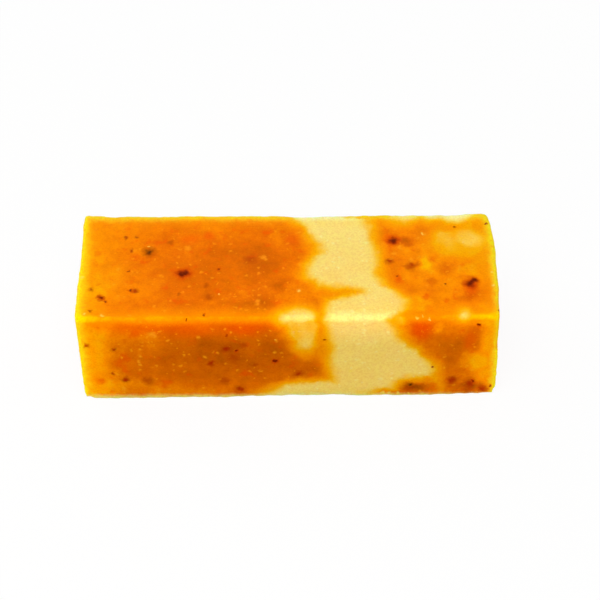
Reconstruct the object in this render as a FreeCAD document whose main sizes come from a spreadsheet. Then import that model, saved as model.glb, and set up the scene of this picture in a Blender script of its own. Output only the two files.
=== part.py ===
# Hand-cut bar of soap: one cast block, cut from a loaf with a wire.
# Frame: origin at the centre of the base, +X along the length, +Z up, -Y is the long face that the viewer sees.
import FreeCAD, Part
import os
import Sketcher

doc = FreeCAD.newDocument("bar_of_soap")

# Driving dimensions in millimetres, one row each: alias, value, what it is
sheet = doc.addObject("Spreadsheet::Sheet", "dims")
driving_dimensions = [
    ("bar_length", 91.0, "tip to tip over both bowed ends"),
    ("bar_width", 32.5, "front long face to back long face"),
    ("height_left", 24.9, "base to top at the left end"),
    ("height_right", 24.3, "base to top at the right end, where the wire dipped"),
    ("left_front_inset", 0.3, "left end: how far the front corner lies behind the tip"),
    ("left_back_inset", 0.3, "left end: how far the back corner lies behind the tip"),
    ("left_tip_place", 0.0, "left end: where the tip lies across the width"),
    ("right_front_inset", 0.4, "right end: how far the front corner lies behind the tip"),
    ("right_back_inset", 0.8, "right end: how far the back corner lies behind the tip"),
    ("right_tip_place", 4.0, "right end: where the tip lies across the width"),
    ("corner_round", 1.1, "radius of the three plain upright corners"),
    ("worn_corner_round", 2.0, "radius of the upright corner at the back right"),
    ("top_round", 0.8, "radius of the edges round the top"),
    ("base_round", 0.6, "radius of the edges round the base"),
]
for row, (alias, value, meaning) in enumerate(driving_dimensions, start=1):
    sheet.set(f"A{row}", alias)
    sheet.set(f"B{row}", str(value))
    sheet.set(f"C{row}", meaning)
    sheet.setAlias(f"B{row}", alias)
doc.recompute()

START, END, CENTRE = 1, 2, 3  # which point of a sketch element a constraint takes
ORIGIN = (-1, 1)  # the sketch's own origin


def size(alias):
    """The value of a driving dimension, for the rough places that the constraints then settle."""
    return float(sheet.get(alias))


def origin_plane(body, role):
    return next(plane for plane in body.Origin.OriginFeatures if plane.Role == role)


def new_sketch(body, name, role):
    sketch = body.newObject("Sketcher::SketchObject", name)
    sketch.AttachmentSupport = [(origin_plane(body, role), "")]
    sketch.MapMode = "FlatFace"
    return sketch


def place_point(sketch, element, point, across, up):
    """Fixes a sketch point at expressions for its two distances from the origin."""
    for kind, value, formula in (
        ("DistanceX", sketch.getPoint(element, point).x, across),
        ("DistanceY", sketch.getPoint(element, point).y, up),
    ):
        index = sketch.addConstraint(Sketcher.Constraint(kind, *ORIGIN, element, point, value))
        sketch.setExpression(f"Constraints[{index}]", formula)


def add_arc(sketch, start, middle, end):
    arc = Part.ArcOfCircle(*(FreeCAD.Vector(*point, 0) for point in (start, middle, end)))
    return sketch.addGeometry(arc, False)


def bowed_end(sketch, side, name):
    """One end of the plan: two arcs that meet at the end's tip with their centres level with it.

    Returns the arcs, front first, and the point of each that is the corner.
    """
    half_width = size("bar_width") / 2
    tip = (side * size("bar_length") / 2, size(f"{name}_tip_place"))
    arcs = []
    for part, corner_y in (("front", -half_width), ("back", half_width)):
        inset = size(f"{name}_{part}_inset")
        corner = (tip[0] - side * inset, corner_y)
        between = (tip[0] - side * inset / 4, (tip[1] + corner_y) / 2)
        arcs.append(add_arc(sketch, corner, between, tip))
    front, back = arcs
    # an arc's own ends run anticlockwise, so the tip is the end of one arc and the start of the other
    anticlockwise_first = front if side > 0 else back
    corner_point = {arc: START if arc == anticlockwise_first else END for arc in arcs}
    tip_point = {arc: END if arc == anticlockwise_first else START for arc in arcs}
    sketch.addConstraint(
        Sketcher.Constraint("Coincident", front, tip_point[front], back, tip_point[back])
    )
    sign = "" if side > 0 else "-"
    place_point(
        sketch, front, tip_point[front], f"{sign}dims.bar_length / 2", f"dims.{name}_tip_place"
    )
    for arc, part, turn in ((front, "front", "-"), (back, "back", "")):
        sketch.addConstraint(
            Sketcher.Constraint("Horizontal", arc, CENTRE, arc, tip_point[arc])
        )
        place_point(
            sketch,
            arc,
            corner_point[arc],
            f"{sign}(dims.bar_length / 2 - dims.{name}_{part}_inset)",
            f"{turn}dims.bar_width / 2",
        )
    return arcs, [corner_point[arc] for arc in arcs]


def join_corners(sketch, left_arc, left_point, right_arc, right_point):
    """The straight long face between the corners of the two ends."""
    left = sketch.getPoint(left_arc, left_point)
    right = sketch.getPoint(right_arc, right_point)
    line = sketch.addGeometry(Part.LineSegment(left, right), False)
    sketch.addConstraint(Sketcher.Constraint("Coincident", line, START, left_arc, left_point))
    sketch.addConstraint(Sketcher.Constraint("Coincident", line, END, right_arc, right_point))


def cut_block(body):
    """The block as the wire left it in plan, at the height of its taller end."""
    plan = new_sketch(body, "plan_outline", "XY_Plane")
    left_arcs, left_corners = bowed_end(plan, -1, "left")
    right_arcs, right_corners = bowed_end(plan, 1, "right")
    for i in range(2):
        join_corners(plan, left_arcs[i], left_corners[i], right_arcs[i], right_corners[i])
    block = body.newObject("PartDesign::Pad", "block")
    block.Profile = plan
    block.setExpression("Length", "max(dims.height_left, dims.height_right)")
    plan.Visibility = False
    doc.recompute()
    return block


def slope_top(body):
    """The wire's slope: a wedge comes off the top, from nothing at the taller end."""
    side_view = new_sketch(body, "top_wedge", "XZ_Plane")
    left, right = -size("bar_length") / 2, size("bar_length") / 2
    heights = size("height_left"), size("height_right")
    spare = size("top_round")  # how far the wedge stands clear above the block
    corners = [
        (left, heights[0]),
        (right, heights[1]),
        (right, max(heights) + spare),
        (left, max(heights) + spare),
    ]
    formulas = [
        ("-dims.bar_length / 2", "dims.height_left"),
        ("dims.bar_length / 2", "dims.height_right"),
        ("dims.bar_length / 2", "max(dims.height_left, dims.height_right) + dims.top_round"),
        ("-dims.bar_length / 2", "max(dims.height_left, dims.height_right) + dims.top_round"),
    ]
    lines = []
    for i, corner in enumerate(corners):
        following = corners[(i + 1) % len(corners)]
        ends = (FreeCAD.Vector(*point, 0) for point in (corner, following))
        lines.append(side_view.addGeometry(Part.LineSegment(*ends), False))
    for i, line in enumerate(lines):
        following = lines[(i + 1) % len(lines)]
        side_view.addConstraint(Sketcher.Constraint("Coincident", line, END, following, START))
    for line, (across, up) in zip(lines, formulas):
        place_point(side_view, line, START, across, up)
    slope = body.newObject("PartDesign::Pocket", "top_slope")
    slope.Profile = side_view
    slope.Type = "ThroughAll"
    slope.SideType = "Symmetric"
    side_view.Visibility = False
    doc.recompute()
    return slope


def upright_edges(shape):
    """The four corner edges: each as (its edge name, the point halfway up it).

    The smooth joints at the two tips are upright too, and are left out because no corner is there.
    """
    found = []
    half_width = size("bar_width") / 2
    for number, edge in enumerate(shape.Edges, start=1):
        middle = edge.CenterOfMass
        box = edge.BoundBox
        is_upright = box.XLength < 0.01 and box.YLength < 0.01
        if is_upright and abs(abs(middle.y) - half_width) < 0.01:
            found.append((f"Edge{number}", middle))
    return found


def rim_edges(shape, at_top):
    """The edges round the top face or round the base."""
    lowest_top = min(size("height_left"), size("height_right"))
    names = []
    for number, edge in enumerate(shape.Edges, start=1):
        box = edge.BoundBox
        level = box.ZMin > lowest_top / 2 if at_top else box.ZMax < 0.01
        if level:
            names.append(f"Edge{number}")
    return names


def add_fillet(body, name, base, edges, alias):
    fillet = body.newObject("PartDesign::Fillet", name)
    fillet.Base = (base, edges)
    fillet.setExpression("Radius", f"dims.{alias}")
    body.Tip = fillet
    doc.recompute()
    return fillet


def round_edges(body, block):
    """Handling has rounded every edge: the uprights first, then the two rims as smooth chains."""
    corners = upright_edges(block.Shape)
    worn = [name for name, middle in corners if middle.x > 0 and middle.y > 0]
    plain = [name for name, middle in corners if name not in worn]
    step = add_fillet(body, "plain_corners", block, plain, "corner_round")
    worn = [
        name for name, middle in upright_edges(step.Shape) if middle.x > 0 and middle.y > 0
    ]
    step = add_fillet(body, "worn_corner", step, worn, "worn_corner_round")
    step = add_fillet(body, "top_edges", step, rim_edges(step.Shape, True), "top_round")
    return add_fillet(body, "base_edges", step, rim_edges(step.Shape, False), "base_round")


soap_bar = doc.addObject("PartDesign::Body", "soap_bar")
soap_bar.Label = "soap_bar"
cut_block(soap_bar)
sloped = slope_top(soap_bar)
round_edges(soap_bar, sloped)
soap_bar.Placement = FreeCAD.Placement()
doc.recompute()

for item in doc.Objects:
    if {"Invalid", "Error"} & set(item.State):
        raise RuntimeError(f"{item.Label} did not build: {item.State}")

os.makedirs("parts", exist_ok=True)
for body in [soap_bar]:
    shape = body.Shape
    if shape.isNull() or not shape.isValid():
        raise RuntimeError(f"{body.Label} has no valid shape")
    shape.exportStep(f"parts/{body.Label}.step")
    box = shape.BoundBox
    print(
        f"{body.Label}: {box.XLength:.2f} x {box.YLength:.2f} x {box.ZLength:.2f} mm, "
        f"{shape.Volume / 1000:.2f} cm3, {len(shape.Solids)} solid, {len(shape.Faces)} faces, "
        f"x {box.XMin:.3f}..{box.XMax:.3f}, z {box.ZMin:.3f}..{box.ZMax:.3f}"
    )
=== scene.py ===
# Bar of hand-cut marbled soap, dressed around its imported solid
import math

import bpy
from mathutils import Matrix, Vector


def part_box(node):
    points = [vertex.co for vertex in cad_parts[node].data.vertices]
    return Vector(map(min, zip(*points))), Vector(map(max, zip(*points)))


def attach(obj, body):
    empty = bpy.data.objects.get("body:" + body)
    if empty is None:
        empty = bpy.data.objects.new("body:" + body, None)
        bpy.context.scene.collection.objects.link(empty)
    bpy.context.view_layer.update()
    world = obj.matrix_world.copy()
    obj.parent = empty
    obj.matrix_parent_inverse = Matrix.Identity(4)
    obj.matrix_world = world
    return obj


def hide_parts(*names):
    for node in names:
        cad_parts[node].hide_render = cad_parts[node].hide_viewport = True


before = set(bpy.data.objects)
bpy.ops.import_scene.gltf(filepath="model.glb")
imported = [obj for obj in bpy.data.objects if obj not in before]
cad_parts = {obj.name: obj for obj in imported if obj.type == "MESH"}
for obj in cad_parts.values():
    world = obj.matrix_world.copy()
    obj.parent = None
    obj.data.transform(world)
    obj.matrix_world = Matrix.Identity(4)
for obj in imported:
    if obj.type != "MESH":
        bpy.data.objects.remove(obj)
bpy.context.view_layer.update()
low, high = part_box("soap_bar")
mm = 0.001
print("frame loaded:", len(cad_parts), "solid")

# The shape of the bar as the wire and handling left it. Its box comes from the solid, and the bowed ends, the
# slope of the top and the rounded edges repeat what the solid has.
wireCut = {
    "topDrop": 0.6 * mm,  # the wire ran down by this much from left to right
    "leftInset": {"front": 0.3 * mm, "back": 0.3 * mm, "tip": 0.0},
    "rightInset": {"front": 0.4 * mm, "back": 0.8 * mm, "tip": 4.0 * mm},
    "strips": 12,  # how many strips the ends are bowed in
    "uprights": 1.1 * mm,
    "wornUpright": 2.0 * mm,
    "topEdges": 0.8 * mm,
    "baseEdges": 0.45 * mm,
    "edgeSteps": 4,
    "voxel": 0.36 * mm,  # fine enough for the rounded edges, and under 200,000 triangles
}

# Where handling and the wire pulled the soft soap, in millimetres: a box of places, how far it moved and how
# wide the pull reached.
pulls = {
    "footRidge": {"from": (14, -17, -1), "to": (35, -15.9, 0.5), "move": (0, -0.3, 0), "reach": 2.6},
    "leftFoot": {"from": (-42, -17, -1), "to": (-14, -15.9, 0.6), "move": (0, -0.3, 0), "reach": 5.0},
    "bluntToe": {"from": (43.6, -17, -1), "to": (46, -15, 0.8), "move": (-0.58, 0.2, 0.16), "reach": 2.4},
    "leftToe": {"from": (-46, -17, -1), "to": (-44.4, -15, 0.8), "move": (0.2, 0.3, 0.1), "reach": 2.0},
    "backLeft": {"from": (-46, 15, 23.4), "to": (-43.0, 17, 25.5), "move": (-0.2, 0.36, 0.2), "reach": 4.0},
    "backRight": {"from": (43.2, 14, 20), "to": (46, 17, 25.5), "move": (0.15, 0.15, 0.1), "reach": 2.5},
    "farRight": {"from": (44.2, 5, 12), "to": (46.5, 12, 25), "move": (0.3, 0, 0), "reach": 5.0},
    "nearRight": {"from": (44.5, -17, 17), "to": (46.5, -12, 25), "move": (-0.2, 0, 0), "reach": 5.0},
    "backRise": {"from": (15, 15.8, 23.4), "to": (23, 17, 25.5), "move": (0, 0.12, 0.14), "reach": 4.0},
    "flaredEnd": {"from": (44.2, -15, -1), "to": (46, 14, 5), "move": (0.25, 0, 0), "reach": 12.0},
    "backLip": {"from": (39.5, 15.6, 23.4), "to": (42.5, 17, 25), "move": (0.1, 0.15, 0.25), "reach": 3.0},
    "backDip": {"from": (1, 15.8, 23.4), "to": (6, 17, 25), "move": (0, -0.15, -0.15), "reach": 3.0},
    "frontNotch": {"from": (24, -17, 23.2), "to": (31, -15.6, 25), "move": (0, 0.12, -0.18), "reach": 2.0},
}

# Roughness of the cut faces, from the slow wander of the wire down to the grain of the soap.
relief = {
    "handCut": {"kind": "CLOUDS", "feature": 16 * mm, "height": 0.42 * mm, "group": "offBase"},
    "curd": {"kind": "CLOUDS", "feature": 3.2 * mm, "height": 0.16 * mm, "group": "offBase"},
    "grain": {"kind": "CLOUDS", "feature": 0.9 * mm, "height": 0.09 * mm, "group": "offBase"},
    "crumbledEdge": {"kind": "STUCCI", "feature": 1.5 * mm, "height": 0.34 * mm, "group": "edges"},
}
edgeBand = 1.3 * mm  # how far from an edge the crumbling reaches
baseBand = 0.5 * mm  # the faces grow flat below this, where the bar stands
footCrumbling = 0.3  # the share of the crumbling that is left at the very foot
baseTrim = 0.06 * mm  # whatever lies lower than this is pressed flat


def selectWhere(block, test):
    bpy.ops.object.mode_set(mode="OBJECT")
    for part in (block.data.polygons, block.data.edges):
        part.foreach_set("select", [False] * len(part))
    for vertex in block.data.vertices:
        vertex.select = test(vertex.co)
    bpy.ops.object.mode_set(mode="EDIT")
    return any(vertex.select for vertex in block.data.vertices)


def insetAt(y, inset):
    corner = high.y if y > inset["tip"] else low.y
    depth = inset["back"] if y > inset["tip"] else inset["front"]
    return depth * ((y - inset["tip"]) / (corner - inset["tip"])) ** 2


def bowEnd(block, side, inset):
    end = high.x if side > 0 else low.x
    columns = sorted({round(v.co.y, 6) for v in block.data.vertices})
    for y in columns:
        selectWhere(block, lambda co: abs(co.y - y) < 1e-5 and abs(co.x - end) < 1e-5)
        bpy.ops.transform.translate(value=(-side * insetAt(y, inset), 0, 0))


def nearLine(value, target):
    return abs(value - target) < 0.02 * mm


def bevelSelected(width):
    bpy.ops.mesh.bevel(
        offset=width, segments=wireCut["edgeSteps"], profile=0.5, affect="EDGES", clamp_overlap=False
    )


def selectSharpEdges(block, test):
    # the sharp edges whose two ends both pass the test
    selectWhere(block, lambda co: False)
    bpy.ops.mesh.select_mode(type="EDGE")
    bpy.ops.mesh.edges_select_sharp(sharpness=math.radians(40))
    bpy.ops.object.mode_set(mode="OBJECT")
    corners = block.data.vertices
    for edge in block.data.edges:
        ends = [corners[i].co for i in edge.vertices]
        edge.select = edge.select and all(test(co) for co in ends) and test((ends[0] + ends[1]) / 2)
    for vertex in corners:
        vertex.select = False
    for edge in block.data.edges:
        if edge.select:
            for i in edge.vertices:
                corners[i].select = True
    bpy.ops.object.mode_set(mode="EDIT")


def cutBlock():
    size = high - low
    bpy.ops.object.select_all(action="DESELECT")
    bpy.ops.mesh.primitive_cube_add(size=1, location=(low + high) / 2, scale=size)
    block = bpy.context.object
    block.name = block.data.name = "marbled_soap_block"
    bpy.ops.object.transform_apply(location=True, rotation=True, scale=True)
    selectWhere(block, lambda co: co.x > 0 and co.z > size.z / 2)
    bpy.ops.transform.translate(value=(0, 0, -wireCut["topDrop"]))

    # slices across the bar, so that its ends can bow
    bpy.ops.object.mode_set(mode="OBJECT")
    for edge in block.data.edges:
        a, b = (block.data.vertices[i].co for i in edge.vertices)
        edge.select = abs(a.y - b.y) > size.y / 2
    bpy.ops.object.mode_set(mode="EDIT")
    bpy.ops.mesh.select_mode(type="EDGE")
    bpy.ops.mesh.subdivide(number_cuts=wireCut["strips"] - 1)
    bpy.ops.mesh.select_mode(type="VERT")
    bowEnd(block, -1, wireCut["leftInset"])
    bowEnd(block, 1, wireCut["rightInset"])

    # the edges: uprights first, then the two rims
    def isUpright(co):
        return nearLine(abs(co.y), high.y)

    for worn in (True, False):
        bpy.ops.object.mode_set(mode="OBJECT")
        for part in (block.data.vertices, block.data.polygons):
            part.foreach_set("select", [False] * len(part))
        for edge in block.data.edges:
            a, b = (block.data.vertices[i].co for i in edge.vertices)
            atBackRight = a.x > 0 and a.y > 0
            edge.select = abs(a.z - b.z) > size.z / 2 and isUpright(a) and atBackRight == worn
        bpy.ops.object.mode_set(mode="EDIT")
        bpy.ops.mesh.select_mode(type="EDGE")
        bevelSelected(wireCut["wornUpright"] if worn else wireCut["uprights"])
    selectSharpEdges(block, lambda co: co.z > size.z / 2)
    bevelSelected(wireCut["topEdges"])
    selectSharpEdges(block, lambda co: co.z < 0.1 * mm)
    bevelSelected(wireCut["baseEdges"])
    bpy.ops.object.mode_set(mode="OBJECT")
    print("block cut:", len(block.data.polygons), "faces")
    return block


def remeshEvenly(block):
    remesh = block.modifiers.new("evenGrid", "REMESH")
    remesh.mode = "VOXEL"
    remesh.voxel_size = wireCut["voxel"]
    bpy.ops.object.modifier_apply(modifier=remesh.name)
    print("even grid:", len(block.data.polygons), "faces")


def pullSoft(block):
    bpy.ops.object.mode_set(mode="EDIT")
    bpy.ops.mesh.select_mode(type="VERT")
    for name, pull in pulls.items():
        nearCorner, farCorner = (Vector(pull[key]) * mm for key in ("from", "to"))
        if not selectWhere(block, lambda co: all(nearCorner[i] <= co[i] <= farCorner[i] for i in range(3))):
            raise RuntimeError(f"{name} takes hold of nothing")
        bpy.ops.transform.translate(
            value=Vector(pull["move"]) * mm,
            use_proportional_edit=True,
            proportional_size=pull["reach"] * mm,
            proportional_edit_falloff="SMOOTH",
        )
    bpy.ops.object.mode_set(mode="OBJECT")
    print("soft soap pulled in", len(pulls), "places")


def edgeDistance(co):
    # a place on the skin lies on one face, so its second nearest face is the nearest edge's
    gaps = (
        min(co.x - low.x, high.x - co.x),
        min(co.y - low.y, high.y - co.y),
        min(co.z - low.z, high.z - co.z),
    )
    return sorted(gaps)[1]


def weighGroups(block):
    edges = block.vertex_groups.new(name="edges")
    offBase = block.vertex_groups.new(name="offBase")
    for vertex in block.data.vertices:
        clear = min(max(vertex.co.z / baseBand, 0), 1)
        offBase.add([vertex.index], clear, "REPLACE")
        close = 1 - min(edgeDistance(vertex.co) / edgeBand, 1)
        edges.add([vertex.index], close * min(vertex.co.z / baseBand + footCrumbling, 1), "REPLACE")


def roughen(block):
    for name, layer in relief.items():
        texture = bpy.data.textures.new(name, layer["kind"])
        texture.noise_scale = layer["feature"]
        displace = block.modifiers.new(name, "DISPLACE")
        displace.texture = texture
        displace.strength = layer["height"]
        displace.mid_level = 0.5
        displace.vertex_group = layer["group"]
        bpy.ops.object.modifier_apply(modifier=name)
    # the base stands flat
    selectWhere(block, lambda co: co.z < baseTrim)
    bpy.ops.transform.resize(value=(1, 1, 0), center_override=(0, 0, 0))
    bpy.ops.object.mode_set(mode="OBJECT")
    bpy.ops.object.shade_smooth()
    print("faces roughened in", len(relief), "layers")


def linear(hexColour):
    # sRGB hex to the linear colour that the shader takes
    parts = [int(hexColour[i : i + 2], 16) / 255 for i in (1, 3, 5)]
    return [p / 12.92 if p <= 0.04045 else ((p + 0.055) / 1.055) ** 2.4 for p in parts] + [1]


def addNode(tree, kind, inputs=None, stops=(), **settings):
    # stops are a colour ramp's own, each a place and a colour
    node = tree.nodes.new("ShaderNode" + kind)
    for name, value in settings.items():
        setattr(node, name, value)
    for socket, value in (inputs or {}).items():
        if isinstance(value, str):
            value = linear(value)
        if isinstance(value, bpy.types.Node):
            value = value.outputs[0]
        if isinstance(value, bpy.types.NodeSocket):
            tree.links.new(value, node.inputs[socket])
        else:
            node.inputs[socket].default_value = value
    for i, (place, colour) in enumerate(stops):
        elements = node.color_ramp.elements
        stop = elements[i] if i < 2 else elements.new(place)
        stop.position = place
        stop.color = linear(colour)
    return node


# The marbling, in millimetres on the bar's unrolled skin: along the bar, and across it.
# Across is 0 midway over the top, falls towards the viewer, and runs on down the front face.
marbling = {
    # the cream vein's two sides as (across, along)
    "leftSide": [
        (16, -0.6), (12, 2.6), (8, 5.0), (4.6, 6.5), (3.2, 6.5), (1.8, 4.8), (0, 3.5), (-3, 3.5),
        (-5.6, 5.0), (-7.3, 6.8), (-9.0, 7.8), (-10.6, 8.2), (-12, 7.9), (-16, 7.1), (-20.5, 7.3),
        (-25.5, 8.2), (-30.5, 8.4), (-34, 8.7), (-40.4, 8.9),
    ],
    "rightSide": [
        (16, 18.3), (10, 18.8), (5, 19.5), (0, 19.9), (-4, 20.2), (-6.5, 20.9), (-8, 22.2), (-10, 24.6),
        (-12, 26.2), (-13.6, 25.8), (-15, 24.0), (-17, 22.4), (-19, 22.7), (-22, 24.0), (-25, 25.8),
        (-28, 29.0), (-30, 30.7), (-34, 31.7), (-40.4, 32.4),
    ],
    # cream let into the orange: centre along and across, half sizes, turn in degrees, how many millimetres
    # of cream it comes up to, where 2 is full cream and under 0 is amber, and how steeply it sets in
    "creamPatches": [
        {"centre": (8.5, -41.6), "half": (14.5, 5.8), "turn": 0, "peak": 3.0, "steep": 1.0},
        {"centre": (2.0, -15.9), "half": (4.2, 3.2), "turn": 0, "peak": 1.5, "steep": 1.0},
        {"centre": (2.9, -19.3), "half": (3.3, 6.6), "turn": 8, "peak": 1.1, "steep": 1.0},
        {"centre": (37.2, 5.4), "half": (5.0, 3.6), "turn": 0, "peak": 0.0, "steep": 1.0},
        {"centre": (38.8, 11.2), "half": (2.0, 3.0), "turn": 0, "peak": -0.4, "steep": 2.0},
        {"centre": (35.6, 8.6), "half": (2.6, 1.4), "turn": 0, "peak": 0.2, "steep": 1.0},
        {"centre": (39.4, 7.5), "half": (3.6, 2.7), "turn": -30, "peak": 0.8, "steep": 0.6},
        {"centre": (36.6, 16.4), "half": (4.8, 4.2), "turn": 0, "peak": 2.4, "steep": 1.0},
        {"centre": (32.4, 16.4), "half": (3.0, 3.4), "turn": 0, "peak": 1.4, "steep": 1.0},
        {"centre": (25.8, 16.2), "half": (3.8, 3.6), "turn": 0, "peak": 0.9, "steep": 1.0},
        {"centre": (37.4, -15.9), "half": (1.5, 1.9), "turn": 12, "peak": 1.3, "steep": 1.3},
        {"centre": (22.9, -17.4), "half": (1.5, 1.5), "turn": 0, "peak": 0.2, "steep": 2.0},
        {"centre": (41.2, -30.4), "half": (1.4, 1.6), "turn": 0, "peak": 0.0, "steep": 1.5},
    ],
    # orange run back over the cream, and how steeply it sets in: the finger across the top is thin
    "orangeStreaks": [
        {"centre": (6.2, -9.0), "half": (4.4, 2.2), "turn": 0, "steep": 1.4},
        {"centre": (9.2, -9.0), "half": (4.7, 1.0), "turn": 4, "steep": 2.0},
        {"centre": (28.8, -39.4), "half": (5.6, 3.8), "turn": -8, "steep": 1.6},
        {"centre": (27.5, -41.0), "half": (10.5, 2.2), "turn": 0, "steep": 2.5},
        {"centre": (15.9, 16.0), "half": (3.4, 1.3), "turn": 0, "steep": 2.5},
    ],
    # the border between the two soaps strays in waves this long, by up to half of this reach
    "wavering": [
        {"wave": 3.4, "detail": 1, "reach": 1.5},
        {"wave": 1.1, "detail": 2, "reach": 0.7},
    ],
    # inside the block the vein drifts, by so much for each millimetre of depth
    "wander": {"wave": 17, "swing": 2.4},
}


def strayFrom(tree, start, place, wave, detail, reach):
    # a start moved about by noise, in waves this long and by up to half of this reach
    noise = addNode(tree, "TexNoise", {"Vector": place, "Scale": 1 / wave, "Detail": detail})
    centred = addNode(tree, "VectorMath", {0: noise.outputs["Color"], 1: (0.5,) * 3}, operation="SUBTRACT")
    return addNode(tree, "VectorMath", {0: centred, 1: (reach,) * 3, 2: start}, operation="MULTIPLY_ADD")


def ellipseField(tree, spot, centre, half, turn=0):
    # 0 at the centre of an ellipse or ellipsoid and 1 at its rim
    if turn:
        local = addNode(
            tree, "Mapping",
            {"Vector": spot, "Location": centre, "Rotation": (0, 0, math.radians(turn)), "Scale": half},
            vector_type="TEXTURE",
        )
        return addNode(tree, "VectorMath", {0: local}, operation="LENGTH").outputs["Value"]
    # unturned ones do without a Mapping node, because so many of those are more than one shader can hold
    shrunk = addNode(tree, "VectorMath", {0: spot, 1: [1 / h for h in half]}, operation="MULTIPLY")
    middle = [c / h for c, h in zip(centre, half)]
    return addNode(tree, "VectorMath", {0: shrunk, 1: middle}, operation="DISTANCE").outputs["Value"]


def sideLine(tree, across, points):
    # a side of the vein: how far along it lies for each place across, in millimetres
    acrossRange, alongRange = (-42.0, 18.0), (-10.0, 50.0)
    share = addNode(
        tree, "MapRange", {"Value": across, "From Min": acrossRange[0], "From Max": acrossRange[1]}
    )
    line = addNode(tree, "FloatCurve", {"Value": share})
    curve = line.mapping.curves[0]
    width, height = (limits[1] - limits[0] for limits in (acrossRange, alongRange))
    places = sorted(((a - acrossRange[0]) / width, (b - alongRange[0]) / height) for a, b in points)
    curve.points[0].location, curve.points[-1].location = places[0], places[-1]
    for place in places[1:-1]:
        curve.points.new(*place)
    line.mapping.extend = "HORIZONTAL"
    line.mapping.update()
    return addNode(
        tree, "MapRange", {"Value": line, "To Min": alongRange[0], "To Max": alongRange[1]}, clamp=False
    )


def unrolledSkin(tree, place):
    # along the bar, across its top and down its front, and how deep a place lies under those two faces
    xyz = addNode(tree, "SeparateXYZ", {0: place})
    drop = addNode(tree, "Math", {0: xyz.outputs["Z"], 1: high.z / mm}, operation="SUBTRACT")
    across = addNode(tree, "Math", {0: xyz.outputs["Y"], 1: drop}, operation="ADD")
    underTop = addNode(tree, "Math", {0: drop, 1: -1}, operation="MULTIPLY")
    behindFront = addNode(tree, "Math", {0: xyz.outputs["Y"], 1: low.y / mm}, operation="SUBTRACT")
    deep = addNode(tree, "Math", {0: underTop, 1: behindFront}, operation="MINIMUM")
    return xyz.outputs["X"], across, deep


def creamDepth(tree, place):
    # how many millimetres a place lies inside the cream, and below 0 how far it lies in the orange
    warped = place
    for waver in marbling["wavering"]:
        warped = strayFrom(tree, warped, place, waver["wave"], waver["detail"], waver["reach"])
    along, across, deep = unrolledSkin(tree, warped)
    # away from the two faces that the photograph shows, the vein wanders
    wander = marbling["wander"]
    noise = addNode(tree, "TexNoise", {"Vector": place, "Scale": 1 / wander["wave"], "Detail": 1})
    swing = addNode(tree, "Math", {0: noise, 1: 0.5}, operation="SUBTRACT")
    drift = addNode(tree, "Math", {0: swing, 1: deep}, operation="MULTIPLY")
    along = addNode(tree, "Math", {0: drift, 1: wander["swing"], 2: along}, operation="MULTIPLY_ADD")
    left, right = (sideLine(tree, across, marbling[key]) for key in ("leftSide", "rightSide"))
    fromLeft = addNode(tree, "Math", {0: along, 1: left}, operation="SUBTRACT")
    fromRight = addNode(tree, "Math", {0: right, 1: along}, operation="SUBTRACT")
    depth = addNode(tree, "Math", {0: fromLeft, 1: fromRight}, operation="MINIMUM")
    spot = addNode(tree, "CombineXYZ", {0: along, 1: across, 2: deep})
    for patch in marbling["creamPatches"]:
        size = sum(patch["half"]) / 2
        field = ellipseField(tree, spot, (*patch["centre"], 0), (*patch["half"], size), patch["turn"])
        rise = size * patch["steep"]
        inside = addNode(tree, "Math", {0: field, 1: -rise, 2: rise}, operation="MULTIPLY_ADD")
        inside = addNode(tree, "Math", {0: inside, 1: patch["peak"]}, operation="MINIMUM")
        depth = addNode(tree, "Math", {0: depth, 1: inside}, operation="MAXIMUM")
    for streak in marbling["orangeStreaks"]:
        size = min(streak["half"])
        field = ellipseField(tree, spot, (*streak["centre"], 0), (*streak["half"], size), streak["turn"])
        rise = size * streak["steep"]
        outside = addNode(tree, "Math", {0: field, 1: rise, 2: -rise}, operation="MULTIPLY_ADD")
        depth = addNode(tree, "Math", {0: depth, 1: outside}, operation="MINIMUM")
    return depth, spot, deep


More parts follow.
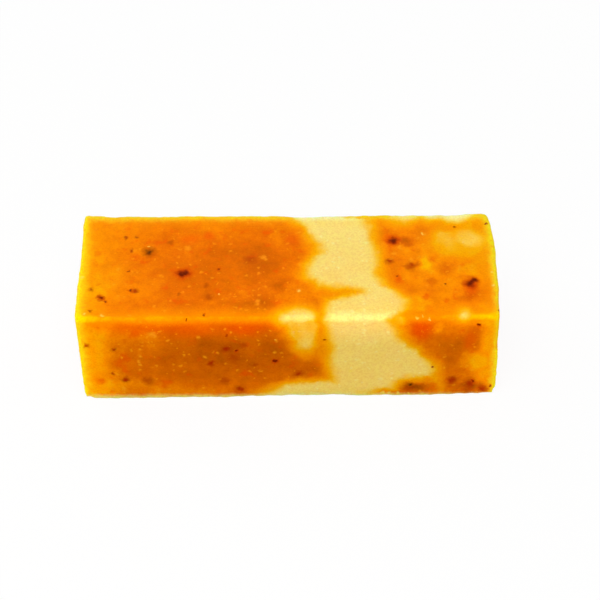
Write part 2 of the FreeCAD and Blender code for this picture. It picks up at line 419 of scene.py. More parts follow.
# How the orange varies: broad zones on the unrolled skin, from -1 for burnt orange to 1 for amber.
zones = [
    {"centre": (-46, -5), "half": (14, 40), "tone": 0.7},
    {"centre": (-14, -1), "half": (20, 12), "tone": -0.3},
    {"centre": (-5, 2), "half": (9, 12), "tone": -0.35},
    # darker across the middle of the front face: the orange's own tone, and painted shade where less light
    # reaches
    {"centre": (-14, -29.4), "half": (29, 15.4), "tone": -0.68},
    {"centre": (-44, -28), "half": (14, 18), "tone": 0.45},
    {"centre": (-41, -38), "half": (10, 6), "tone": 0.5},
    {"centre": (10.5, -8.7), "half": (6, 3), "tone": 0.8},
    {"centre": (-20, -38), "half": (28, 6), "tone": 0.35},
    {"centre": (-9, -13), "half": (10, 4.5), "tone": -0.55},
    {"centre": (-22, -13), "half": (8, 4), "tone": -0.25},
    {"centre": (30, -13.5), "half": (9, 3.5), "tone": 0.45},
    {"centre": (43.5, -18), "half": (5, 9), "tone": 0.8},
    {"centre": (35, 1), "half": (15, 19), "tone": 0.4},
    {"centre": (37.5, 8.5), "half": (6.5, 8.5), "tone": 1.0},
    {"centre": (44, 9), "half": (6, 15), "tone": 1.1},
    {"centre": (27.5, 13.5), "half": (5, 4), "tone": 0.9},
    {"centre": (29.6, 0.5), "half": (2.4, 6), "tone": 0.7},
    {"centre": (27.0, -12.5), "half": (5.5, 4.5), "tone": 0.8},
    {"centre": (21.4, 9), "half": (2.6, 7), "tone": -1.0},
    {"centre": (26.0, 6.0), "half": (2.8, 2.2), "tone": -0.9},
    {"centre": (26.6, -0.6), "half": (2.8, 2.0), "tone": -0.9},
    {"centre": (34.5, -1.0), "half": (3.4, 4.2), "tone": -0.6},
    {"centre": (30.5, -6.5), "half": (2.2, 2.2), "tone": -0.5},
    {"centre": (39, -9.5), "half": (3.4, 4.8), "tone": -0.6},
    {"centre": (34.2, -26.6), "half": (4.0, 8), "tone": -0.35},
    {"centre": (32.6, -20.6), "half": (2.4, 2.8), "tone": 0.6},
    {"centre": (38.6, -30.6), "half": (2.4, 4.0), "tone": 0.4},
    {"centre": (43.6, -27), "half": (3.5, 14), "tone": 0.7},
    {"centre": (40.5, -38.8), "half": (6, 2.6), "tone": -1.0},
    {"centre": (34.5, -37.6), "half": (4, 4), "tone": -0.4},
    {"centre": (27.0, -38.4), "half": (5.5, 3), "tone": -1.0},
    {"centre": (-2.3, -7.2), "half": (2.6, 2.2), "tone": -0.5},
    {"centre": (3, -32.5), "half": (6, 4), "tone": -0.5},
]
# where they lie along the top of the front face, the red is painted light: the redder glow of light coming in
# through the top
redBlotchesAndTopGlow = [
    {"centre": (-17.5, 9.4), "half": (2.4, 1.8), "share": 0.5},
    {"centre": (-21.5, 8.6), "half": (3.6, 2.6), "share": 0.5},
    {"centre": (-31, -18.4), "half": (11, 4.0), "share": 0.5},
    {"centre": (-21, -19.0), "half": (12, 4.6), "share": 0.5},
    {"centre": (-10, -18.6), "half": (9, 4.4), "share": 0.7},
    {"centre": (1.0, 8.0), "half": (3.0, 4.0), "share": 0.4},
    {"centre": (-2.3, -12.0), "half": (2.2, 1.6), "share": 0.6},
    {"centre": (-33.2, 2.4), "half": (1.8, 1.4), "share": 0.4},
    {"centre": (-32.5, -20.5), "half": (3.0, 2.2), "share": 0.6},
    {"centre": (-41.4, -35.6), "half": (1.6, 1.5), "share": 0.7},
    {"centre": (-2.8, -18.5), "half": (3.0, 2.4), "share": 0.8},
    {"centre": (28.2, -20.2), "half": (4.2, 5.5), "share": 0.85},
    {"centre": (38.8, -24.0), "half": (2.2, 4.5), "share": 0.45},
    {"centre": (20.8, 12), "half": (2.4, 3.4), "share": 0.7},
    {"centre": (21.6, 7), "half": (2.2, 4.5), "share": 0.7},
    {"centre": (23.6, -5.2), "half": (1.7, 2.0), "share": 0.6},
    {"centre": (39.0, -8.8), "half": (2.2, 3.4), "share": 0.4},
    {"centre": (44.0, -37.0), "half": (1.3, 1.5), "share": 0.7},
]
orangeTones = ((0.0, "#a04a00"), (0.3, "#d46400"), (0.52, "#ea7400"), (0.76, "#ff9600"), (1.0, "#ffb800"))
orangeMix = {
    "mottle": {"wave": 7, "roughness": 0.68, "darkest": 0.4, "lightest": 0.72},
    "stray": {"wave": 6, "reach": 7},  # how far the zones' outlines wander
    "zoneStrength": 0.45,  # how much of the tones one zone can shift
    "blotches": {"wave": 3.1, "share": 0.55, "colour": "#f05400"},
}


def orangeBody(tree, place, spot):
    mottle, stray, blotches = (orangeMix[key] for key in ("mottle", "stray", "blotches"))
    noise = addNode(
        tree, "TexNoise",
        {"Vector": place, "Scale": 1 / mottle["wave"], "Detail": 5, "Roughness": mottle["roughness"]},
    )
    tone = addNode(
        tree, "MapRange",
        {"Value": noise, "From Min": 0.3, "From Max": 0.7, "To Min": mottle["darkest"],
         "To Max": mottle["lightest"]},
    )
    strayed = strayFrom(tree, spot, place, stray["wave"], 2, stray["reach"])
    for zone in zones:
        size = sum(zone["half"]) / 2
        field = ellipseField(tree, strayed, (*zone["centre"], 0), (*zone["half"], size))
        share = addNode(
            tree, "MapRange", {"Value": field, "From Min": 0.1, "From Max": 1.0, "To Min": 1, "To Max": 0},
            interpolation_type="SMOOTHSTEP",
        )
        shift = zone["tone"] * orangeMix["zoneStrength"]
        tone = addNode(tree, "Math", {0: share, 1: shift, 2: tone}, operation="MULTIPLY_ADD")
    body = addNode(tree, "ValToRGB", {"Fac": tone}, orangeTones)
    # red blotches, where ground paprika lies close under the skin; along the top of the front face the red is
    # painted light
    noise = addNode(tree, "TexNoise", {"Vector": place, "Scale": 1 / blotches["wave"], "Detail": 2})
    red = addNode(
        tree, "MapRange",
        {"Value": noise, "From Min": 0.56, "From Max": 0.74, "To Max": blotches["share"]},
        interpolation_type="SMOOTHSTEP",
    )
    for zone in redBlotchesAndTopGlow:
        size = sum(zone["half"]) / 2
        field = ellipseField(tree, spot, (*zone["centre"], 0), (*zone["half"], size))
        share = addNode(
            tree, "MapRange",
            {"Value": field, "From Min": 0.2, "From Max": 1.0, "To Min": zone["share"], "To Max": 0},
            interpolation_type="SMOOTHSTEP",
        )
        red = addNode(tree, "Math", {0: red, 1: share}, operation="MAXIMUM")
    return addNode(tree, "Mix", {0: red, 6: body, 7: blotches["colour"]}, data_type="RGBA").outputs[2]


# Ground herb and spice in the soap, in the order in which they cover each other. The larger ones are placed
# on the top (x, y) and on the front (x, z), with a radius, all in millimetres. Core and rim are where a speck
# starts and ends to fade, in radii.
specks = {
    # brown clouds, where a speck lies deeper
    "clouds": {
        "colour": "#b43e00", "share": 0.66, "core": 0.1, "rim": 1.1,
        "top": [
            (-22.6, -2.3, 2.0), (-30.3, 4.6, 2.1), (-25.8, 7.4, 1.2), (-36.0, 9.0, 0.9),
            (-34.4, 5.1, 0.8), (-33.0, -7.6, 1.2), (-17.7, -6.0, 1.1), (-17.2, -9.6, 1.6),
            (23.3, 7.4, 1.8), (39.6, -5.8, 2.3), (22.1, 1.0, 1.5), (26.6, -0.7, 1.9),
            (-42.5, -7.2, 0.9), (-8.3, 2.0, 2.0), (-23.4, -8.6, 0.7), (-40.0, -9.8, 1.3),
        ],
        "front": [
            (-43.2, 17.0, 1.0), (-37.8, 15.5, 0.9), (-35.8, 6.0, 1.4), (-13.4, 15.3, 1.9),
            (-9.8, 16.4, 1.3), (-12.0, 12.6, 2.0), (-16.7, 10.8, 1.2), (-10.9, 2.8, 1.8),
            (-14.0, 5.4, 1.6), (-7.2, 10.2, 0.9), (25.8, 2.4, 2.2), (35.9, 4.6, 1.9), (39.6, 4.0, 2.0),
            (42.6, 1.8, 2.0), (39.4, 1.6, 2.2), (-31.0, 5.5, 2.0), (2.0, 7.4, 1.4),
        ],
    },
    # amber grains
    "pale": {
        "colour": "#ffa81c", "share": 0.7, "core": 0.2, "rim": 2.0,
        "top": [
            (-14.9, -8.8, 0.24), (2.3, -7.9, 0.46), (-30.5, 6.2, 0.22), (30.0, 9.8, 0.35),
            (-24.2, 0.8, 0.28), (-6.6, -11.0, 0.45), (-6.6, -12.0, 0.4), (-22.0, 5.6, 0.6),
            (-39.5, -14.7, 0.5), (-43.3, -14.8, 0.3), (24.5, 5.6, 0.4), (23.3, 3.6, 0.4),
            (26.9, 1.4, 0.4), (-5.4, 2.7, 0.5), (-36.9, -0.9, 0.35),
        ],
        "front": [
            (-29.2, 20.3, 0.7), (-28.6, 19.8, 0.5), (-19.4, 19.1, 0.42), (-26.0, 18.3, 0.32),
            (-32.5, 11.6, 0.36), (-32.4, 10.6, 0.34), (-32.2, 13.3, 0.38), (-36.2, 13.0, 0.28),
            (-18.3, 13.0, 0.4), (-36.2, 3.2, 0.5), (-2.6, 18.0, 0.34), (-3.0, 14.2, 0.34),
            (-4.2, 2.7, 0.5), (-32.0, 15.5, 0.32), (-27.6, 21.2, 0.3), (33.7, 9.0, 0.3),
            (-13.5, 21.4, 0.25), (-12.3, 20.6, 0.28), (-40.9, 18.2, 0.35),
        ],
    },
    # yellow crumbs, most of them on an edge
    "crumbs": {
        "colour": "#ffdc64", "share": 0.8, "core": 0.3, "rim": 1.7,
        "top": [
            (2.2, -7.8, 0.42), (29.8, 9.8, 0.3), (-15.0, -8.7, 0.24), (-30.6, 6.3, 0.24),
            (-43.4, -14.4, 0.28), (-39.5, -14.9, 0.36), (44.3, -2.5, 0.3), (44.2, -6.5, 0.3),
            (-44.6, -3.4, 0.4),
        ],
        "front": [
            (27.4, 24.1, 0.24), (28.4, 24.1, 0.24), (29.9, 23.6, 0.24), (13.3, 8.0, 0.4),
            (-3.0, 18.2, 0.2), (20.6, 0.9, 0.45), (22.0, 1.1, 0.35), (23.8, 1.0, 0.4), (26.2, 0.7, 0.3),
        ],
    },
    # brown specks just under the skin
    "deep": {
        "colour": "#b02a00", "share": 0.85, "core": 0.1, "rim": 1.9,
        "top": [
            (-33.4, 9.1, 0.42), (-42.1, -13.6, 0.34), (22.1, 1.2, 0.45), (26.9, 0.0, 0.34),
            (-36.0, 9.0, 0.3), (-34.4, 5.0, 0.28), (-33.0, -7.6, 0.4), (-42.5, -7.2, 0.3),
        ],
        "front": [
            (-16.8, 10.8, 0.62), (-13.5, 15.2, 0.52), (-35.8, 6.0, 0.56), (-38.4, 8.0, 0.38),
            (-10.8, 2.8, 0.55), (2.1, 7.2, 0.42), (35.7, 4.9, 0.85), (-43.6, 16.9, 0.5),
            (42.4, 1.8, 0.8), (39.6, 3.6, 0.8), (-13.4, 19.6, 0.28), (-37.8, 15.5, 0.34),
        ],
    },
    # dark specks: red light goes furthest in soap, so each has a red rim
    "dark": {
        "colour": "#621400", "share": 1.0, "core": 0.2, "rim": 1.5, "halo": "#d63c00",
        "top": [
            (-23.1, -2.5, 0.95), (-22.4, -2.2, 0.85), (-40.2, -9.5, 0.46), (-39.1, -10.8, 0.28),
            (-34.0, -7.5, 0.32), (-34.6, -1.5, 0.18), (-15.0, -1.0, 0.26), (-17.9, -15.0, 0.28),
            (-21.7, -16.0, 0.14), (23.2, 7.6, 0.9), (39.2, -6.1, 0.9), (39.7, -5.6, 0.7),
            (40.3, -5.1, 0.7), (23.6, -3.8, 0.25), (37.0, 12.0, 0.22), (33.9, -6.0, 0.18),
            (44.3, 12.8, 0.2), (44.8, -14.0, 0.25),
        ],
        "front": [
            (-11.2, 14.5, 0.26), (-3.0, 11.4, 0.36), (7.7, 18.0, 0.26), (31.1, 9.2, 0.2),
            (40.6, 22.0, 0.28), (44.3, 2.8, 0.26), (40.3, 4.5, 0.28),
        ],
    },
    # green herb gone nearly black
    "herb": {
        "colour": "#4c2600", "share": 0.95, "core": 0.2, "rim": 1.6, "halo": "#c45a00",
        "top": [(-30.5, 4.4, 0.78)],
        "front": [(26.5, 3.6, 0.42)],
    },
}

# How the specks and the fine grains lie. Spacing, radius, wave and reach are in millimetres.
strewing = {
    "wobble": {"wave": 1.1, "reach": 1.3},  # so that no speck's outline is round
    "halo": {"core": 0.7, "rim": 2.6, "share": 0.75},
    # fine grains all over: amber in the orange, pale yellow in the cream
    "grains": {"spacing": 1.25, "held": 0.6, "radius": 0.42, "core": 0.2, "rim": 1.4, "share": 0.7,
               "inOrange": "#ffa81c", "inCream": "#fff0a0"},
    # dark specks on the sides that the photograph doesn't show
    "hidden": {"spacing": 3.4, "held": 0.3, "radius": 0.4, "core": 0.3, "rim": 1.4, "share": 0.8},
    "hiddenDepth": (1.0, 3.0),  # from where to where they set in, under the two faces that it shows
    "squash": 0.3,  # placed specks reach deeper in than they are wide, by one over this
}

# Painted light: the edges of the block are painted bright and yellow, for the light that shines out of them.
# How many millimetres in the glow reaches, and its colour on both soaps. A fade says how fast it falls off on
# each of the two faces that meet.
paintedEdgeGlow = {
    "leftEnd": {
        "sides": ("left",), "reach": 3.2, "share": 0.95, "onOrange": "#ffdc14", "onCream": "#fffb9e"},
    "rightEnd": {
        "sides": ("right",), "reach": 2.3, "share": 0.95, "onOrange": "#ffe020", "onCream": "#fffb9e"},
    "backTop": {
        "sides": ("back", "top"), "reach": 2.8, "share": 0.95, "onOrange": "#ffd624", "onCream": "#fffbb0"},
    "frontTop": {
        "sides": ("front", "top"), "reach": 0.85, "share": 0.85, "onOrange": "#ffae00", "onCream": "#fff89c",
        "nearEnds": "#ffe000", "creamWider": 1.4, "endsWider": 0.8, "glowFade": (0.65, 1.2),
        "warmFade": (1.2, 2.2)},
    # painted light at the foot of the front face, for the light that the table throws back up
    "frontFoot": {
        "sides": ("front", "base"), "reach": 1.8, "share": 0.9, "onOrange": "#ffe07a", "onCream": "#fff0b4",
        "warm": False},
}
# painted light along the edges: the tones of the wide warm glow, and how the glows spread and fade
paintedGlowTones = ((0.0, "#ff9a00"), (0.3, "#ffa400"), (0.5, "#ffb600"), (0.66, "#ffca28"), (1.0, "#ffdc68"))
glowPainting = {
    "warmReach": 6,
    "warmShare": 0.85,
    "raggedWave": 1.6,
    "raggedShare": 0.6,  # how much of its reach a glow's border is ragged by
    "fade": (0.35, 1.3),  # where a glow starts and ends to fade, in reaches
    "nearEnds": (1, 9),  # how far from an end the bar still counts as near it
    "farSides": {"from": 2, "to": 8, "share": 0.5},  # weaker, with depth, on the sides away from the light
}


def sideGaps(tree, place):
    # how many millimetres a place lies in from each side of the bar
    xyz = addNode(tree, "SeparateXYZ", {0: place})
    # the right end bows back towards the far corner
    bow = addNode(
        tree, "Math", {0: xyz.outputs["Y"], 1: wireCut["rightInset"]["tip"] / mm}, operation="SUBTRACT"
    )
    bow = addNode(tree, "Math", {0: bow, 1: 0}, operation="MAXIMUM")
    bow = addNode(tree, "Math", {0: bow, 1: bow}, operation="MULTIPLY")
    depth = wireCut["rightInset"]["back"] / mm
    span = (high.y - wireCut["rightInset"]["tip"]) / mm
    alongBowed = addNode(
        tree, "Math", {0: bow, 1: depth / span**2, 2: xyz.outputs["X"]}, operation="MULTIPLY_ADD"
    )
    # and the top slopes down to the right
    slope = wireCut["topDrop"] / (high.x - low.x)
    height = addNode(
        tree, "Math", {0: xyz.outputs["X"], 1: slope, 2: xyz.outputs["Z"]}, operation="MULTIPLY_ADD"
    )
    height = addNode(tree, "Math", {0: height, 1: wireCut["topDrop"] / mm / 2}, operation="ADD")
    gaps = {}
    for names, value, axis in (
        (("left", "right"), alongBowed, 0),
        (("front", "back"), xyz.outputs["Y"], 1),
        (("base", "top"), height, 2),
    ):
        gaps[names[0]] = addNode(tree, "Math", {0: value, 1: low[axis] / mm}, operation="SUBTRACT")
        gaps[names[1]] = addNode(tree, "Math", {0: high[axis] / mm, 1: value}, operation="SUBTRACT")
    return gaps


def nearestOf(tree, values):
    nearest = values[0]
    for value in values[1:]:
        nearest = addNode(tree, "Math", {0: nearest, 1: value}, operation="MINIMUM")
    return nearest


def edgeGap(tree, gaps, sides, fade=(1, 1)):
    # how far a place on the skin lies from the edge between two sides, or from the rim of one side
    others = [gaps[name] for name in ("front", "back", "base", "top")]
    second = gaps[sides[1]] if len(sides) > 1 else nearestOf(tree, others)
    first = addNode(tree, "Math", {0: gaps[sides[0]], 1: fade[0]}, operation="MULTIPLY")
    return addNode(tree, "Math", {0: second, 1: fade[1], 2: first}, operation="MULTIPLY_ADD")


def nearestSpeck(tree, place, kind):
    # 0 at the nearest placed speck's centre and 1 at its rim
    nearest = None
    topHeight = (high.z - wireCut["topDrop"] / 2) / mm
    squash = strewing["squash"]
    for face in ("top", "front"):
        # squashed space makes them deep, so that a rise or a hollow of the face keeps them
        squashes = (1, 1, squash) if face == "top" else (1, squash, 1)
        flat = addNode(tree, "VectorMath", {0: place, 1: squashes}, operation="MULTIPLY")
        for x, other, radius in kind[face]:
            centre = (x, other, topHeight) if face == "top" else (x, low.y / mm, other)
            centre = tuple(c * s for c, s in zip(centre, squashes))
            gap = addNode(tree, "VectorMath", {0: flat, 1: centre}, operation="DISTANCE").outputs["Value"]
            field = addNode(tree, "Math", {0: gap, 1: 1 / radius}, operation="MULTIPLY")
            if nearest is None:
                nearest = field
            else:
                nearest = addNode(tree, "Math", {0: nearest, 1: field}, operation="MINIMUM")
    return nearest


def scatteredSpecks(tree, place, kind):
    # specks at random: a share of the cells holds one each, up to so wide, and it fades from core to rim
    spacing = kind["spacing"]
    cells = addNode(tree, "TexVoronoi", {"Vector": place, "Scale": 1 / spacing, "Randomness": 1})
    pick = addNode(tree, "SeparateColor", {0: cells.outputs["Color"]})
    size = addNode(
        tree, "MapRange",
        {"Value": pick, "From Min": 1 - kind["held"], "From Max": 1, "To Min": 0.001,
         "To Max": kind["radius"] / spacing},
    )
    field = addNode(tree, "Math", {0: cells.outputs["Distance"], 1: size}, operation="DIVIDE")
    return addNode(
        tree, "MapRange",
        {"Value": field, "From Min": kind["core"], "From Max": kind["rim"], "To Min": kind["share"],
         "To Max": 0},
    )


# From orange through amber to cream. Each pair says from where to where a change runs, in millimetres
# inside the cream.
veinTones = (
    (0.0, "#ff8e00"), (0.3, "#ff9e00"), (0.48, "#ffb000"),
    (0.62, "#ffbe20"), (0.78, "#ffce54"), (1.0, "#fed872"),
)
veinMix = {
    "spread": {"wave": 5, "reach": 2.4},  # the border is wider in some places
    "cover": (-3.6, -0.6),  # the vein's tones take over from the orange
    "fringe": (-2.4, 2.6),  # they run from amber to cream
    "cream": (-0.3, 2.4),  # the pale cream starts further in, so that nothing between the soaps turns pink
    "mottle": {"wave": 4.5, "share": 0.35, "colour": "#ffe88a"},
    "farSide": {"from": 1, "to": 14, "share": 0.7},  # and more of the mottle's colour at the back of the top
}


def twoSoaps(tree, place):
    # the orange soap and the cream vein: the skin's colour, and how far a place is into the cream
    depth, spot, deep = creamDepth(tree, place)
    orange = orangeBody(tree, place, spot)
    spread, mottle, farSide = (veinMix[key] for key in ("spread", "mottle", "farSide"))
    noise = addNode(tree, "TexNoise", {"Vector": place, "Scale": 1 / spread["wave"], "Detail": 1})
    swing = addNode(tree, "Math", {0: noise, 1: 0.5}, operation="SUBTRACT")
    depth = addNode(tree, "Math", {0: swing, 1: spread["reach"], 2: depth}, operation="MULTIPLY_ADD")
    start, end = veinMix["fringe"]
    fringe = addNode(tree, "MapRange", {"Value": depth, "From Min": start, "From Max": end})
    vein = addNode(tree, "ValToRGB", {"Fac": fringe}, veinTones)
    start, end = veinMix["cream"]
    creamShare = addNode(
        tree, "MapRange", {"Value": depth, "From Min": start, "From Max": end},
        interpolation_type="SMOOTHSTEP",
    )
    noise = addNode(tree, "TexNoise", {"Vector": place, "Scale": 1 / mottle["wave"], "Detail": 3})
    mottleShare = addNode(
        tree, "MapRange", {"Value": noise, "From Min": 0.4, "From Max": 0.7, "To Max": mottle["share"]}
    )
    across = addNode(tree, "SeparateXYZ", {0: spot}).outputs["Y"]
    farShare = addNode(
        tree, "MapRange",
        {"Value": across, "From Min": farSide["from"], "From Max": farSide["to"], "To Max": farSide["share"]},
    )
    mottleShare = addNode(tree, "Math", {0: mottleShare, 1: farShare}, operation="MAXIMUM")
    mottleShare = addNode(tree, "Math", {0: mottleShare, 1: creamShare}, operation="MULTIPLY")
    vein = addNode(tree, "Mix", {0: mottleShare, 6: vein, 7: mottle["colour"]}, data_type="RGBA").outputs[2]
    start, end = veinMix["cover"]
    cover = addNode(
        tree, "MapRange", {"Value": depth, "From Min": start, "From Max": end},
        interpolation_type="SMOOTHSTEP",
    )
    skin = addNode(tree, "Mix", {0: cover, 6: orange, 7: vein}, data_type="RGBA").outputs[2]
    return skin, fringe, creamShare, deep


def paintLitEdges(tree, place, gaps, skin, fringe, creamShare, deep):
    # painted light where it gathers in the edges of a translucent block: wide and warm, then narrow and
    # yellow
    warmGaps = [
        edgeGap(tree, gaps, edge["sides"], edge.get("warmFade", (1, 1)))
        for edge in paintedEdgeGlow.values()
        if edge.get("warm", True)
    ]
    # the wide, warm painted glow near the edges, all but the foot
    paintedWarmGlow = addNode(
        tree, "MapRange",
        {"Value": nearestOf(tree, warmGaps), "From Min": 0, "From Max": glowPainting["warmReach"],
         "To Min": glowPainting["warmShare"], "To Max": 0},
        interpolation_type="SMOOTHSTEP",
    )
    warmGlowTones = addNode(tree, "ValToRGB", {"Fac": fringe}, paintedGlowTones)
    skin = addNode(tree, "Mix", {0: paintedWarmGlow, 6: skin, 7: warmGlowTones}, data_type="RGBA").outputs[2]
    ragged = addNode(tree, "TexNoise", {"Vector": place, "Scale": 1 / glowPainting["raggedWave"], "Detail": 2})
    start, end = glowPainting["nearEnds"]
    endNear = addNode(
        tree, "MapRange",
        {"Value": nearestOf(tree, [gaps["left"], gaps["right"]]), "From Min": start, "From Max": end,
         "To Min": 1, "To Max": 0},
    )
    farSides = glowPainting["farSides"]
    facing = addNode(
        tree, "MapRange",
        {"Value": deep, "From Min": farSides["from"], "From Max": farSides["to"], "To Min": 1,
         "To Max": farSides["share"]},
        interpolation_type="SMOOTHSTEP",
    )
    # each edge's narrow painted glow, weaker with depth on the sides away from the light
    for edge in paintedEdgeGlow.values():
        reach = edge["reach"]
        gap = edgeGap(tree, gaps, edge["sides"], edge.get("glowFade", (1, 1)))
        wider = addNode(
            tree, "MapRange", {"Value": creamShare, "To Min": 1, "To Max": 1 + edge.get("creamWider", 0)}
        )
        wider = addNode(
            tree, "Math", {0: endNear, 1: edge.get("endsWider", 0), 2: wider}, operation="MULTIPLY_ADD"
        )
        gap = addNode(tree, "Math", {0: gap, 1: wider}, operation="DIVIDE")
        stray = reach * glowPainting["raggedShare"]
        gap = addNode(tree, "Math", {0: ragged, 1: stray, 2: gap}, operation="MULTIPLY_ADD")
        start, end = (reach * share for share in glowPainting["fade"])
        glow = addNode(
            tree, "MapRange",
            {"Value": gap, "From Min": start, "From Max": end, "To Min": edge["share"], "To Max": 0},
            interpolation_type="SMOOTHSTEP",
        )
        glow = addNode(tree, "Math", {0: glow, 1: facing}, operation="MULTIPLY")
        onOrange, onCream = edge["onOrange"], edge["onCream"]
        atEnds = edge.get("nearEnds", onOrange)
        light = addNode(tree, "Mix", {0: endNear, 6: onOrange, 7: atEnds}, data_type="RGBA").outputs[2]
        light = addNode(tree, "Mix", {0: creamShare, 6: light, 7: onCream}, data_type="RGBA").outputs[2]
        skin = addNode(tree, "Mix", {0: glow, 6: skin, 7: light}, data_type="RGBA").outputs[2]
    return skin


def strewSpecks(tree, place, deep, creamShare, skin):
    wobble, haloFade, grains = (strewing[key] for key in ("wobble", "halo", "grains"))
    shaken = strayFrom(tree, place, place, wobble["wave"], 1, wobble["reach"])
    grainColour = addNode(
        tree, "Mix", {0: creamShare, 6: grains["inOrange"], 7: grains["inCream"]}, data_type="RGBA"
    ).outputs[2]
    grainShare = scatteredSpecks(tree, shaken, grains)
    skin = addNode(tree, "Mix", {0: grainShare, 6: skin, 7: grainColour}, data_type="RGBA").outputs[2]
    for kind in specks.values():
        field = nearestSpeck(tree, shaken, kind)
        if "halo" in kind:
            halo = addNode(
                tree, "MapRange",
                {"Value": field, "From Min": haloFade["core"], "From Max": haloFade["rim"],
                 "To Min": haloFade["share"], "To Max": 0},
                interpolation_type="SMOOTHSTEP",
            )
            skin = addNode(tree, "Mix", {0: halo, 6: skin, 7: kind["halo"]}, data_type="RGBA").outputs[2]
        share = addNode(
            tree, "MapRange",
            {"Value": field, "From Min": kind["core"], "From Max": kind["rim"], "To Min": kind["share"],
             "To Max": 0},
            interpolation_type="SMOOTHSTEP",
        )
        skin = addNode(tree, "Mix", {0: share, 6: skin, 7: kind["colour"]}, data_type="RGBA").outputs[2]
    strewn = scatteredSpecks(tree, shaken, strewing["hidden"])
    start, end = strewing["hiddenDepth"]
    hidden = addNode(tree, "MapRange", {"Value": deep, "From Min": start, "From Max": end})
    strewn = addNode(tree, "Math", {0: strewn, 1: hidden}, operation="MULTIPLY")
    dark = specks["dark"]["colour"]
    return addNode(tree, "Mix", {0: strewn, 6: skin, 7: dark}, data_type="RGBA").outputs[2]


# The soap's body and skin. Lengths are in millimetres.
soapBody = {
    "coreDepth": 10,  # how far in from the top and the ends the light still helps, before the painted shade is full
    "paintedCoreShade": "#e7eee2",
    "grain": 0.42,  # sugary grain of a third of a millimetre, drawn as coarse as a pixel or two
    "grainShade": "#f8ecec",
    "grainHeight": 0.06,
    "grainBump": 0.8,
    "handling": 9,  # how wide the duller and the shinier places are
    "roughness": (0.42, 0.6),
    "refraction": 1.46,
    "specular": 0.05,
    "specularTint": "#ff9a00",
    "scatterDepth": 4,  # how deep red light goes, and then the shares that green and blue reach
    "scatterShares": (1.0, 0.45, 0.12),
}


def castSoap():
    # Cold-process soap: a waxy, faintly see-through body that light enters a few millimetres deep. Cut by a
    # wire, it has a dull satin skin with a fine sugary grain.
    material = bpy.data.materials.new("cast_marbled_soap")
    material.use_nodes = True
    tree = material.node_tree
    shader = tree.nodes["Principled BSDF"]
    coordinates = addNode(tree, "TexCoord")
    place = addNode(
        tree, "VectorMath", {0: coordinates.outputs["Object"], "Scale": 1 / mm}, operation="SCALE"
    )
    gaps = sideGaps(tree, place)
    skin, fringe, creamShare, deep = twoSoaps(tree, place)
    skin = paintLitEdges(tree, place, gaps, skin, fringe, creamShare, deep)
    skin = strewSpecks(tree, place, deep, creamShare, skin)

    # painted shade: less light reaches the core, so the sides are painted darker away from the top and the
    # ends
    inwards = nearestOf(tree, [gaps[name] for name in ("top", "left", "right")])
    core = addNode(
        tree, "MapRange", {"Value": inwards, "From Min": 0, "From Max": soapBody["coreDepth"]},
        interpolation_type="SMOOTHSTEP",
    )
    paintedCoreShade = addNode(
        tree, "Mix", {0: core, 6: "#ffffff", 7: soapBody["paintedCoreShade"]}, data_type="RGBA"
    ).outputs[2]
    skin = addNode(tree, "VectorMath", {0: skin, 1: paintedCoreShade}, operation="MULTIPLY")

    grain = addNode(tree, "TexNoise", {"Vector": place, "Scale": 1 / soapBody["grain"], "Detail": 2})
    grainShare = addNode(tree, "MapRange", {"Value": grain, "From Min": 0.3, "From Max": 0.6})
    grainShade = addNode(
        tree, "Mix", {0: grainShare, 6: soapBody["grainShade"], 7: "#ffffff"}, data_type="RGBA"
    ).outputs[2]
    skin = addNode(tree, "VectorMath", {0: skin, 1: grainShade}, operation="MULTIPLY")
    tree.links.new(skin.outputs[0], shader.inputs["Base Color"])

    height = addNode(tree, "Math", {0: grain, 1: soapBody["grainHeight"]}, operation="MULTIPLY")
    bump = addNode(tree, "Bump", {"Height": height, "Distance": mm, "Strength": soapBody["grainBump"]})
    tree.links.new(bump.outputs[0], shader.inputs["Normal"])
    handling = addNode(tree, "TexNoise", {"Vector": place, "Scale": 1 / soapBody["handling"], "Detail": 2})
    shiny, dull = soapBody["roughness"]
    roughness = addNode(tree, "MapRange", {"Value": handling, "To Min": shiny, "To Max": dull})
    tree.links.new(roughness.outputs[0], shader.inputs["Roughness"])
    shader.inputs["IOR"].default_value = soapBody["refraction"]
    shader.inputs["Specular IOR Level"].default_value = soapBody["specular"]
    shader.inputs["Specular Tint"].default_value = linear(soapBody["specularTint"])
    shader.inputs["Subsurface Weight"].default_value = 1.0
    shader.inputs["Subsurface Radius"].default_value = soapBody["scatterShares"]
    shader.inputs["Subsurface Scale"].default_value = soapBody["scatterDepth"] * mm
    print("soap mixed:", len(tree.nodes), "nodes")
    return material


def buildBar():
    bar = cutBlock()
    remeshEvenly(bar)
    pullSoft(bar)
    weighGroups(bar)
    roughen(bar)
    bar.data.materials.clear()
    bar.data.materials.append(castSoap())
    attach(bar, "root")
    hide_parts("soap_bar")


# The table, the light and the camera
studio = {
    "floorSide": 3.0,
    "cardGlow": 0.92,  # how much of the card's plain white shows, and the rest keeps the bar's shadow
    "world": 0.48,  # the white room's light on the object
    "keyPower": 6.3,
    "keySide": 0.8,
    "keyPlace": (-0.12, -0.46, 0.80),
    "rimPower": 1.0,
    "rimSide": 0.4,
    "rimPlace": (-0.6, 0.35, 0.25),
    "aim": (0, 0, 0.01),
}
lens = {
    "focal": 111.4,
    "sensor": 36.0,
    "place": (1.4 * mm, -290.65 * mm, 306.35 * mm),
    "down": 45.185,
    "turn": -0.225,
    "roll": -0.46,
}


def seenDirectly(tree):
    # 1 for what the camera sees, also by reflection or through glass, and 0 for the light on the bar
    path = addNode(tree, "LightPath")
    seen = path.outputs["Is Camera Ray"]
    for ray in ("Is Glossy Ray", "Is Transmission Ray"):
        seen = addNode(tree, "Math", {0: seen, 1: path.outputs[ray]}, operation="MAXIMUM").outputs[0]
    return seen


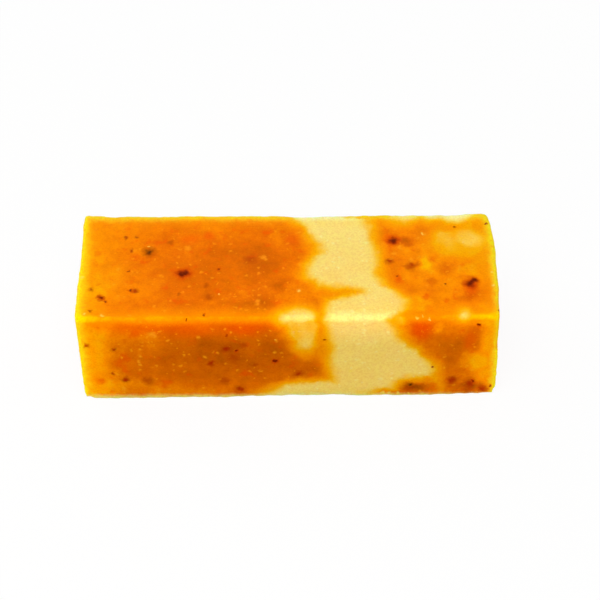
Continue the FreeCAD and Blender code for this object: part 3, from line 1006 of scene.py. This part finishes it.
def addFloor():
    bpy.ops.object.select_all(action="DESELECT")
    bpy.ops.mesh.primitive_plane_add(size=studio["floorSide"], location=(0, 0, 0))
    floor = bpy.context.object
    floor.name = "table"
    material = bpy.data.materials.new("white_card")
    material.use_nodes = True
    tree = material.node_tree
    shader = tree.nodes["Principled BSDF"]
    shader.inputs["Base Color"].default_value = linear("#f4f4f2")
    shader.inputs["Roughness"].default_value = 0.9
    shader.inputs["Specular IOR Level"].default_value = 0
    # seen by the camera, the card is mostly plain white, and keeps a share of the bar's shadow
    share = addNode(tree, "Math", {0: seenDirectly(tree), 1: studio["cardGlow"]}, operation="MULTIPLY")
    white = addNode(tree, "Emission", {"Color": (1, 1, 1, 1), "Strength": 1})
    mixed = addNode(tree, "MixShader", {0: share, 1: shader.outputs[0], 2: white})
    tree.links.new(mixed.outputs[0], tree.nodes["Material Output"].inputs["Surface"])
    floor.data.materials.append(material)


def addLamp(name, side, power, place):
    lamp = bpy.data.lights.new(name, "AREA")
    lamp.size = side
    lamp.energy = power
    holder = bpy.data.objects.new(name, lamp)
    bpy.context.scene.collection.objects.link(holder)
    holder.location = place
    towards = Vector(studio["aim"]) - Vector(place)
    holder.rotation_euler = towards.to_track_quat("-Z", "Y").to_euler()


def lightRoom():
    world = bpy.data.worlds.new("white_room")
    bpy.context.scene.world = world
    world.use_nodes = True
    tree = world.node_tree
    strength = addNode(
        tree, "MapRange", {"Value": seenDirectly(tree), "To Min": studio["world"], "To Max": 1.0}
    )
    background = tree.nodes["Background"]
    background.inputs["Color"].default_value = (1, 1, 1, 1)
    tree.links.new(strength.outputs[0], background.inputs["Strength"])
    addLamp("key", studio["keySide"], studio["keyPower"], studio["keyPlace"])
    addLamp("rim", studio["rimSide"], studio["rimPower"], studio["rimPlace"])
    bpy.context.scene.view_settings.view_transform = "Standard"
    print("room lit")


def addCamera():
    data = bpy.data.cameras.new("camera")
    data.lens = lens["focal"]
    data.sensor_width = lens["sensor"]
    data.clip_start, data.clip_end = 0.01, 20
    camera = bpy.data.objects.new("camera", data)
    bpy.context.scene.collection.objects.link(camera)
    camera.location = lens["place"]
    tilt = Matrix.Rotation(math.radians(90 - lens["down"]), 3, "X")
    turn = Matrix.Rotation(math.radians(lens["turn"]), 3, "Z")
    roll = Matrix.Rotation(math.radians(lens["roll"]), 3, "Z")
    camera.rotation_euler = (turn @ tilt @ roll).to_euler()
    bpy.context.scene.camera = camera
    print("camera placed")


addCamera()
addFloor()
lightRoom()
buildBar()
